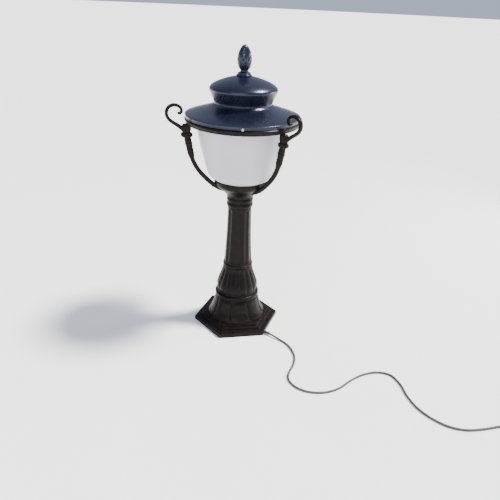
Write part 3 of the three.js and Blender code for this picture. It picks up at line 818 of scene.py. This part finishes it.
def leaf_section():
    """Section of the leaf: a rounded body with a groove down its middle vein on each face."""
    points = []
    for u, v in rounded_section(40, 0.7):
        groove = 0.16 * math.exp(-((v / 0.22) ** 2))
        points.append((u * (1 - groove), v))
    return points


def make_arm(side, angle):
    """One arm in four pieces: strap, scroll, the leaf that wraps the strap, and the moulded head."""
    strap = sweep(arm_stations(ARM_LINE, ARM_HALF_WIDTH), rounded_section())
    scroll = sweep(rounded_tip(arm_stations(SCROLL_LINE, SCROLL_HALF_WIDTH), 5), rounded_section())
    lobed = []
    for k, (centre, first, second) in enumerate(arm_stations(LEAF_LINE, 0)):
        ripple = 1 + LEAF_RIPPLE * abs(math.sin(k * math.pi / LEAF_LOBE))
        lobed.append((centre, first * ripple, second * ripple))
    leaf = sweep(lobed, leaf_section())
    levels = [(Vector((r, 0, z)) * MM, Vector((deep * MM, 0, 0)), Vector((0, wide * MM, 0)))
              for r, z, deep, wide in through(HEAD_LEVELS, 1.2)]
    head = sweep(levels, rounded_section(36, 0.4))
    turn = swung(angle)
    screw_well = moved(pin(3.2, 730, 760), turn @ Matrix.Translation((SCREW_WELL_RADIUS * MM, 0, 0)))
    for part, shape in (("strap", strap), ("scroll", scroll), ("leaf", leaf)):
        piece(f"arm_{part}_{side}", moved(shape, turn), f"arm_{side}")
    piece(f"arm_head_{side}", moved(head, turn), f"arm_{side}", cutters=[solid("screw_well", screw_well)])


# ---------------------------------------------------------------- ring, bowl and canopy
LATCH_ANGLES = {"front": -99, "side": -11.6}
LATCH_HEIGHT = 779.6
KNURLS = 28
KNURL_DEPTH = 0.28
HINGE_ANGLE = 124.7
HINGE_RADIUS = 198
HINGE_HEIGHT = 776
KNUCKLE = 4.6                     # radius of the hinge's barrels
KNUCKLE_BORE = 2.2


def make_frame_ring():
    line = outline(
        [(156.5, 758), (183.4, 758)], [(186, 759), (187.2, 761.4)], [(187.2, 764.6)], [(188.4, 766)],
        [(189.9, 767.6), (190.4, 770), (189.9, 772.4), (188.2, 774.2)], [(187, 775.1)], [(184.4, 775.2)],
        [(184.4, 782)], [(176, 782)], [(176, 764)], [(156.5, 764)],
    )
    notches = [solid("notch", block((170, -3, 776.6), (187, 3, 783), swung(angle)))
               for angle in LATCH_ANGLES.values()]
    return piece("rim_ring", lathe(eased(line, 0.7)), "frame_ring", cutters=notches)


def make_gaskets():
    upper = outline([(158, 764.3), (172, 764.3)], [(172.6, 765.6), (172, 766.9)], [(158, 766.9)])
    lower = outline([(58, 548.3), (79, 548.3)], [(79.5, 550), (78.6, 551.7)], [(58, 551.7)])
    seal = outline([(177, 782.3), (183, 782.3)], [(183.2, 783.3), (182, 784.2)], [(178, 784.2)])
    piece("bowl_gasket", lathe(eased(upper, 0.5)), "upper_gasket")
    piece("cup_gasket", lathe(eased(lower, 0.5)), "lower_gasket")
    piece("lid_seal", lathe(eased(seal, 0.4)), "canopy_seal")


def make_bowl():
    line = outline(
        [(43, 552.2), (74, 552.2)], [(78, 553.2), (81, 556.5), (83.8, 562), (86.5, 567.2), (90, 570.2)],
        [(98, 574.6), (106, 581), (113, 591.5), (118.5, 605), (124.6, 626), (130, 648), (136, 672),
         (141.5, 697), (146.4, 721), (150.5, 745), (153, 762)],
        [(154.5, 767.2)], [(171, 767.2)], [(171, 770.8)], [(151.5, 770.8)],
        [(149.6, 762), (147.1, 745), (142.9, 721), (138, 697), (132.5, 672), (126.5, 648), (121.1, 626),
         (115, 605.5), (110, 592.8), (103.5, 583.6), (96, 577.6)],
        [(88, 573.8), (83, 570), (79.6, 562), (75.5, 555.8)], [(43, 555.8)],
    )
    return piece("bowl", lathe(eased(line, 0.6)), "diffuser")


def make_canopy():
    """Spun shell in one outline: up the inside of dome, neck and brim, round the rim, and back outside."""
    line = outline(
        [(4.6, 903.2), (24, 902.8)], [(60, 893.6), (89.5, 881.5), (104, 871.6)], [(107.2, 866.6)],
        [(103, 854), (98, 842), (94.2, 832), (92.4, 822)],
        [(107, 810.2), (130, 802.4), (154, 795.2), (185.3, 784.6)],
        [(185.3, 776.2)], [(187.9, 776.2)], [(188.5, 777)], [(188.5, 778.4)], [(187.9, 779.2)],
        [(187.9, 784.2)], [(188.7, 785.2), (188.7, 786.4), (187.8, 787.5), (186.2, 788.4)],
        [(178, 791.1), (166, 795), (150, 800), (132, 805.4), (118, 809.8), (108, 813.6), (100.8, 817.4),
         (97.2, 820.6)],
        [(95.4, 823)],
        [(96.2, 829), (99, 836), (103.2, 846), (107.4, 856), (109.8, 861.6)],
        [(110.9, 864.6), (110.9, 867.6), (109.4, 871.2), (105.6, 875.6), (99, 880.6), (91, 885.2),
         (78, 890.9), (61, 897), (40, 902.9), (24, 906)],
        [(4.6, 906)],
    )
    holes = [solid("hole", moved(pin(2.4, 182, 192), radial(angle, LATCH_HEIGHT)))
             for angle in LATCH_ANGLES.values()]
    return piece("canopy_shell", lathe(eased(line, 0.5), 240), "canopy", cutters=holes)


# ---------------------------------------------------------------- finial
CONE_BOTTOM = 922
CONE_TOP = 1000
CONE_COLUMNS = 8
CONE_ROWS = 9
SCALE_DEPTH = 3.0


def cone_scales(height, angle):
    """How far the nearest overlapping scale stands out: scales point up, the lower over the upper."""
    row_height = (CONE_TOP - CONE_BOTTOM) / CONE_ROWS
    row = (height - CONE_BOTTOM) / row_height
    best = 0.0
    for start in range(int(row) - 1, int(row) + 1):
        up = (row - start) / 1.75
        if start < 0 or not 0 <= up <= 1:
            continue
        across = (angle * CONE_COLUMNS / (2 * math.pi) + start / 2) % 1 - 0.5
        edge = 0.56 * math.cos(up * math.pi / 2) ** 0.55 + 0.02
        inside = 1 - (across / edge) ** 2
        if inside > 0:
            best = max(best, (0.25 + 0.75 * up) * min(1.0, inside * 2.4) + 0.12 * inside)
    return best


def make_finial():
    def form(radius, height, angle):
        if height <= CONE_BOTTOM or radius < 0.5:
            return radius, height
        depth = SCALE_DEPTH * min(1.0, radius / 9) * fade(height, CONE_BOTTOM, CONE_TOP + 3, 3)
        return radius - depth * (1 - cone_scales(height, angle)), height

    stud = [Vector(p) for p in ((0, 886), (4.1, 886), (4.1, 906.3))]
    foot = outline(
        [(4.1, 906.3), (23.6, 906.3)], [(25, 907), (25.2, 908.4), (24, 910.2)], [(21.4, 911.6)],
        [(20.6, 913), (20.8, 915), (19.6, 917)], [(16, 918)], [(13.6, 919.2), (12.8, 920.6), (12.9, 922)],
    )
    cone = through([(12.9, CONE_BOTTOM), (15.6, 926), (19.4, 932.5), (22.2, 943), (23.2, 953), (22.6, 963),
                    (20.4, 973.5), (17, 982.5), (12.4, 990.5), (6.6, 997), (0, CONE_TOP)], 0.7)
    line = [*eased([*stud, *foot[1:]], 0.5, False), *cone[1:]]
    return piece("pine_cone", lathe(line, 216, form), "finial")


# ---------------------------------------------------------------- latch screws and hinge
def make_latch(place, angle):
    """Captive thumb screw: knurled head with a slot."""
    def knurl(radius, height, around):
        fluted = radius > 4 and 189.5 < height < 193
        return radius - (KNURL_DEPTH * abs(math.sin(KNURLS * around / 2)) if fluted else 0), height

    line = outline([(0, 178), (1.4, 178)], [(2, 178.8)], [(2, 189.2)], [(3.6, 189.2)], [(4.4, 189.8)],
                   [(4.4, 192.6)], [(3.7, 193.4)], [(0, 193.4)])
    outwards = radial(angle, LATCH_HEIGHT)
    slot_cut = block((-0.6, -6, 192.2), (0.6, 6, 195), outwards)
    return piece(f"thumb_screw_{place}", moved(lathe(eased(line, 0.3, False), 112, knurl), outwards),
                 f"latch_screw_{place}", cutters=[solid("slot", slot_cut)])


def along_hinge(line, segments):
    """Turned body along the hinge's axis, from an outline in mm, before the hinge swings to its place."""
    centre = Matrix.Translation(Vector((HINGE_RADIUS, 0, HINGE_HEIGHT)) * MM)
    return moved(lathe(line, segments), centre @ Matrix.Rotation(math.radians(-90), 4, "X"))


def knuckle(start, end):
    """Hinge barrel with eased ends."""
    line = outline([(KNUCKLE_BORE, start), (KNUCKLE, start)], [(KNUCKLE, end)], [(KNUCKLE_BORE, end)])
    return along_hinge(eased(line, 0.5), 48)


def rounded_block(low, high, squareness=0.16):
    """Box with eased edges between two corners in mm."""
    low, high = Vector(low), Vector(high)
    centre, half = (low + high) / 2 * MM, (high - low) / 2 * MM
    stations = []
    for height, scale in ((-1, 0.94), (-0.93, 0.985), (-0.8, 1), (0.8, 1), (0.93, 0.985), (1, 0.94)):
        level = centre + Vector((0, 0, half.z * height))
        stations.append((level, Vector((half.x * scale, 0, 0)), Vector((0, half.y * scale, 0))))
    return sweep(stations, rounded_section(40, squareness))


def make_hinge():
    turn = swung(HINGE_ANGLE)
    ears = []
    for y in (-14, 14):
        ears += [rounded_block((190.8, y - 6, 766), (196.2, y + 6, 777)), knuckle(y - 6, y + 6)]
    bracket = merged(rounded_block((190.8, -20, 760), (193.2, 20, 771.2)), *ears)
    leaf = merged(rounded_block((189, -7.6, 776.8), (191, 7.6, 785.6)),
                  rounded_block((190, -7.6, 776.8), (198, 7.6, 779.8)), knuckle(-7.6, 7.6))
    rod = outline([(0, -21.6), (1.4, -21.6)], [(2, -21)], [(2, 21)], [(1.4, 21.6)], [(0, 21.6)])
    piece("hinge_fork", moved(bracket, turn), "hinge_bracket")
    piece("hinge_tongue", moved(leaf, turn), "hinge_leaf")
    piece("hinge_rod", moved(along_hinge(rod, 32), turn), "hinge_pin")


# ---------------------------------------------------------------- lampholder and bulb
THREAD_PITCH = 3.6
THREAD_DEPTH = 0.55
THREAD_ROWS = (575, 594)          # heights between which the cap carries its thread
THREAD_STEP = 0.45


def make_lamp():
    """Porcelain lampholder, and a white bulb with its screw cap."""
    def thread(radius, height, angle):
        wound = fade(height, 575.5, 593.6, 1.6) if radius > 11 else 0
        return radius + THREAD_DEPTH * wound * math.sin(2 * math.pi * height / THREAD_PITCH - angle), height

    cap = outline([(6.8, 546), (18, 546)], [(20.4, 548), (22, 552)], [(22, 561)], [(6.8, 561)])
    socket = outline([(0, 561.3), (21, 561.3)], [(21, 586)], [(20.4, 588.6), (18.6, 590)], [(14.4, 590)],
                     [(14.4, 568)], [(0, 568)])
    low, high = THREAD_ROWS
    threaded = [(13.0, low + THREAD_STEP * k) for k in range(int((high - low) / THREAD_STEP) + 1)]
    contact = outline([(0, 568.4), (4.5, 568.4)], [(5, 570.4), (9, 573), (12, 574.4)])
    shell = [*contact, *threaded, (13.4, high), (0, high)]
    globe = outline([(0, 594.3), (14, 594.3)],
                    [(15.4, 600), (17.4, 607), (24, 624), (28.6, 638), (30, 652), (27.4, 667), (18.6, 678),
                     (8.6, 682.6), (0, 683.6)])
    piece("socket_cap", lathe(eased(cap, 0.8), SMALL_SEGMENTS), "lampholder_cap")
    piece("socket_body", lathe(eased(socket, 0.8, False), SMALL_SEGMENTS), "lampholder_body")
    piece("screw_cap", lathe(shell, SMALL_SEGMENTS, thread), "bulb_cap")
    piece("globe", lathe(globe, SMALL_SEGMENTS), "bulb_globe")


# ---------------------------------------------------------------- setting
FLOOR_RADIUS = 60         # metres
EDGE_WIDTH = 0.35         # mm, of the bevel on CAD nodes that stay


def make_floor():
    n = Nodes("floor")
    tone = n.blend(n.span(n.noise(3), 0, 1), (0.88, 0.88, 0.87), (0.90, 0.90, 0.89))
    material = n.finish(tone, 0.9, Specular_IOR_Level=0.1)
    corners = [heading(angle) * FLOOR_RADIUS for angle in range(0, 360, 5)]
    floor = solid("floor", (corners, [tuple(range(len(corners)))]))
    floor.data.materials.append(material)


def sun_light(name, azimuth, elevation, strength, spread, colour):
    """Distant light from an azimuth, in degrees from +X, and an elevation."""
    data = bpy.data.lights.new(name, "SUN")
    data.energy = strength
    data.angle = math.radians(spread)
    data.color = colour
    height = math.radians(elevation)
    source = heading(azimuth) * math.cos(height) + Vector((0, 0, math.sin(height)))
    link(name, data).matrix_world = (-source).to_track_quat("-Z", "Y").to_matrix().to_4x4()


def area_light(name, place, aim, size, power, colour):
    data = bpy.data.lights.new(name, "AREA")
    data.shape = "DISK"
    data.size = size
    data.energy = power
    data.color = colour
    lamp = link(name, data)
    direction = Vector(aim) - Vector(place)
    lamp.matrix_world = Matrix.Translation(place) @ direction.to_track_quat("-Z", "Y").to_matrix().to_4x4()


def make_lights():
    world = bpy.data.worlds.new("studio")
    world.use_nodes = True
    world.node_tree.nodes["Background"].inputs["Color"].default_value = (0.68, 0.76, 1.0, 1)
    world.node_tree.nodes["Background"].inputs["Strength"].default_value = 0.70
    bpy.context.scene.world = world
    sun_light("key", -2, 55, 10.5, 11, (1.0, 0.96, 0.91))
    area_light("fill", (-1.4, -2.9, 2.2), (0, 0, 0.6), 3.2, 80, (0.95, 0.96, 1.0))
    area_light("rim", (2.2, 0.5, 1.0), (0, 0, 0.65), 0.9, 26, (1.0, 0.94, 0.90))


def dress_cad_nodes():
    """CAD nodes that stay get the procedural finish of their slot and softened edges."""
    for name, node in frame["nodes"].items():
        if node.hide_render:
            continue
        node.data.materials.clear()
        node.data.materials.append(materials[slot_of[name]])
        bevel = node.modifiers.new("soft_edges", "BEVEL")
        bevel.width = EDGE_WIDTH * MM
        bevel.segments = 2
        bevel.limit_method = "ANGLE"
        bevel.angle_limit = math.radians(40)


make_camera()
cord = make_cord()
plug_parts = make_plug()
tie = make_tie()
make_sleeve()
make_foot()
make_vase()
make_lower_collar()
make_column()
make_column_head()
make_cup()
for arm_side, arm_angle in ARM_ANGLES.items():
    make_arm(arm_side, arm_angle)
make_frame_ring()
make_gaskets()
make_bowl()
make_canopy()
make_finial()
for latch_place, latch_angle in LATCH_ANGLES.items():
    make_latch(latch_place, latch_angle)
make_hinge()
make_lamp()
dress_cad_nodes()
make_floor()
make_lights()
